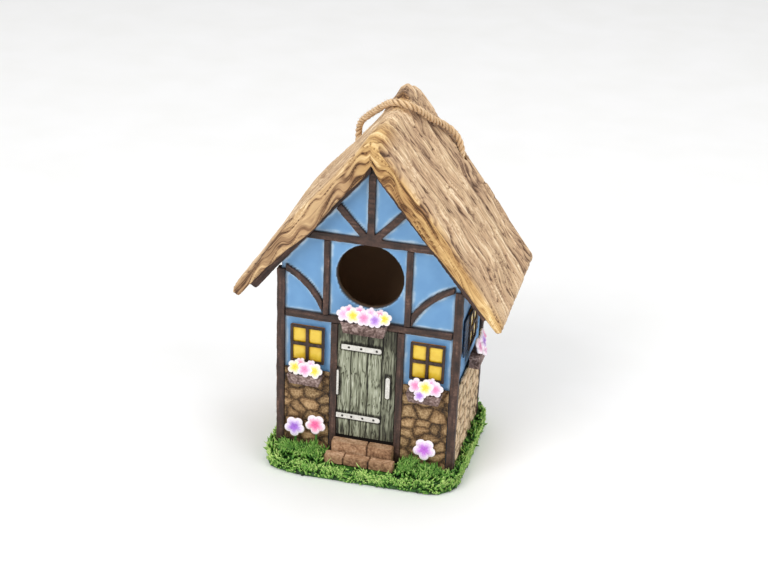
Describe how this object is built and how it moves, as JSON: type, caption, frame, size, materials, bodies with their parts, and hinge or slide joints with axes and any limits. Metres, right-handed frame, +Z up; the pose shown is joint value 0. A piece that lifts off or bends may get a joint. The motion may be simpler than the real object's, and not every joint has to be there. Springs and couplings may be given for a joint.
{
  "type": "birdhouse",
  "caption": "Hanging birdhouse in the form of a half-timbered cottage with a thatched roof, a round entrance hole and a swivel clean-out cover.",
  "frame": {"origin": "centre of the overall box at the lawn's flat underside", "axes": "+Z up, -Y out of the entrance hole, +X to the right seen from the front"},
  "size_m": [0.1586, 0.1129, 0.2202],
  "materials": {
    "lawn": "painted resin, satin",
    "plaster": "painted resin, satin",
    "thatch": "painted resin, dry-brushed",
    "timber": "painted resin, satin",
    "pane": "painted resin, gloss",
    "shutter": "painted resin, satin",
    "box": "painted resin, matte",
    "petal": "painted resin, satin",
    "door": "painted resin, weathered",
    "white_iron": "painted resin, satin",
    "brick": "painted resin, matte",
    "stone": "painted resin, matte",
    "cover": "painted resin, satin",
    "screw": "zinc plated",
    "rope": "twisted jute"
  },
  "bodies": {
    "house": {"base_lawn": "lawn", "brace_left": "timber", "brace_right": "timber", "corner_post_front_left": "timber", "corner_post_front_right": "timber", "corner_post_rear_left": "timber", "corner_post_rear_right": "timber", "door_handle": "white_iron", "door_hinge_bar": "white_iron", "door_leaf": "door", "door_post_left": "timber", "door_post_right": "timber", "flower_box_door": "box", "flower_box_front_left": "box", "flower_box_front_right": "box", "flower_box_side_left": "box", "flower_box_side_right": "box", "flowers_door": "petal", "flowers_front_left": "petal", "flowers_front_right": "petal", "flowers_side_left": "petal", "flowers_side_right": "petal", "gable_truss": "timber", "ground_flower_left": "petal", "ground_flower_middle": "petal", "ground_flower_right": "petal", "hanging_rope": "rope", "house_shell": "plaster", "knot_left": "rope", "knot_right": "rope", "mid_rail": "timber", "pivot_screw": "screw", "rafter_front_left": "timber", "rafter_front_right": "timber", "rear_timber_frame": "timber", "roof_thatch": "thatch", "shutter_left_front": "shutter", "shutter_left_rear": "shutter", "shutter_right_front": "shutter", "shutter_right_rear": "shutter", "step_lower": "brick", "step_upper": "brick", "stones_front_left": "stone", "stones_front_right": "stone", "stones_rear": "stone", "stones_side_left": "stone", "stones_side_right": "stone", "strap_bottom": "white_iron", "strap_top": "white_iron", "stud_left": "timber", "stud_right": "timber", "window_frame_front_left": "timber", "window_frame_front_right": "timber", "window_frame_side_left": "timber", "window_frame_side_right": "timber", "window_panes_front_left": "pane", "window_panes_front_right": "pane", "window_panes_side_left": "pane", "window_panes_side_right": "pane"},
    "cleanout": {"cleanout_cover": "cover"}
  },
  "joints": [
    {"name": "cleanout_swivel", "type": "hinge", "parent": "house", "child": "cleanout", "pos_m": [0, 0.0381, 0.0545], "axis": [0, -1, 0], "range_deg": [-110, 110]}
  ]
}
